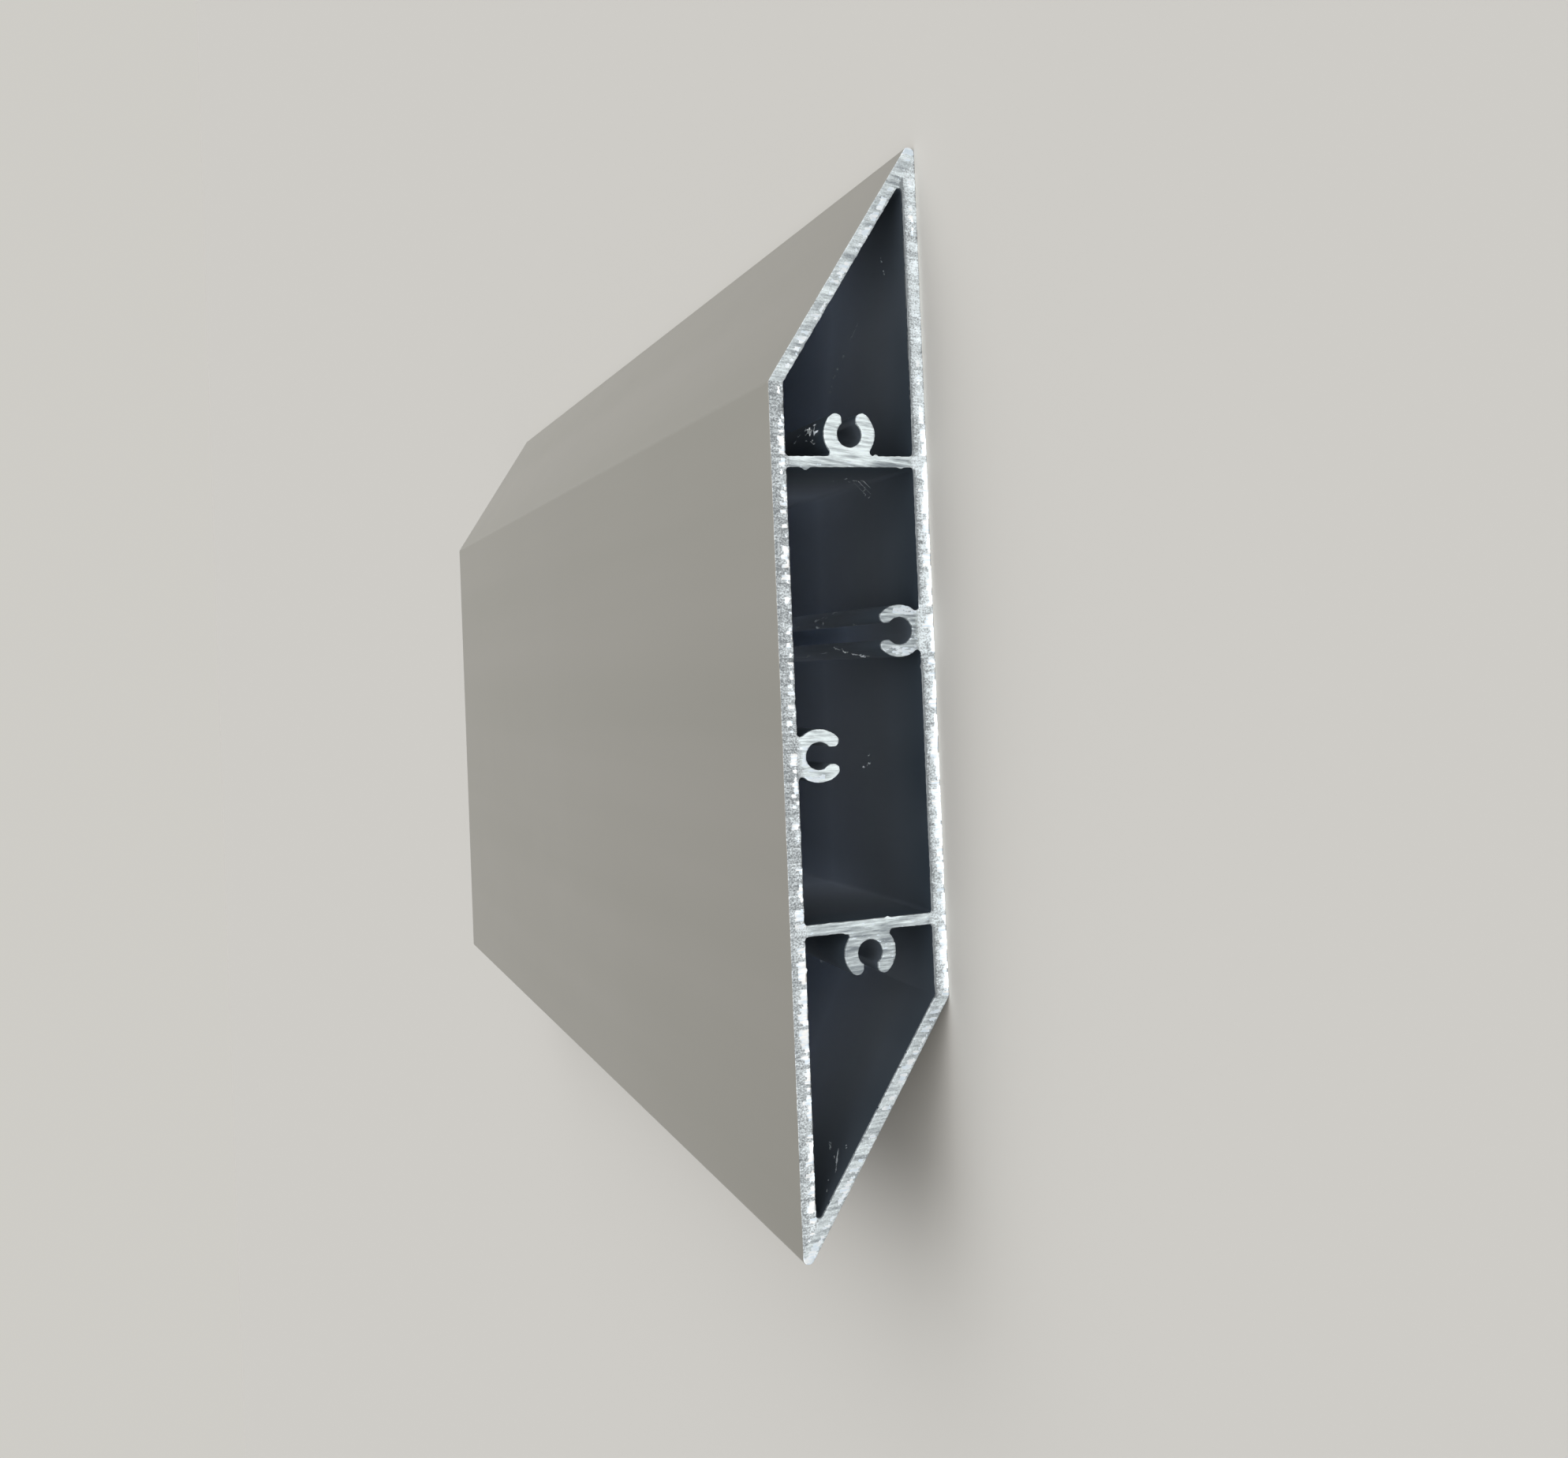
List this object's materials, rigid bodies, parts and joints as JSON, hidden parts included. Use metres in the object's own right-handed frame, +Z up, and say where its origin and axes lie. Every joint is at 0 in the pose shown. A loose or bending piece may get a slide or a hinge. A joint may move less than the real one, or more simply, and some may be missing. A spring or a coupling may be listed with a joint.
{
  "type": "aluminium extrusion profile",
  "caption": "Hollow rhomboid louvre blade profile with slanted edges, cross webs and C-shaped screw ports, sawn square to a short length.",
  "frame": {"origin": "middle of the broad face that the profile lies on, at mid-length", "axes": "+Y along the extrusion, +X across the blade towards the tip that lies on the floor, +Z up through the thickness"},
  "size_m": [0.1484, 0.32, 0.022],
  "materials": {
    "aluminium": "satin mill finish, with bright sawn ends"
  },
  "bodies": {
    "root": {"louvre_profile": "aluminium"}
  },
  "joints": []
}
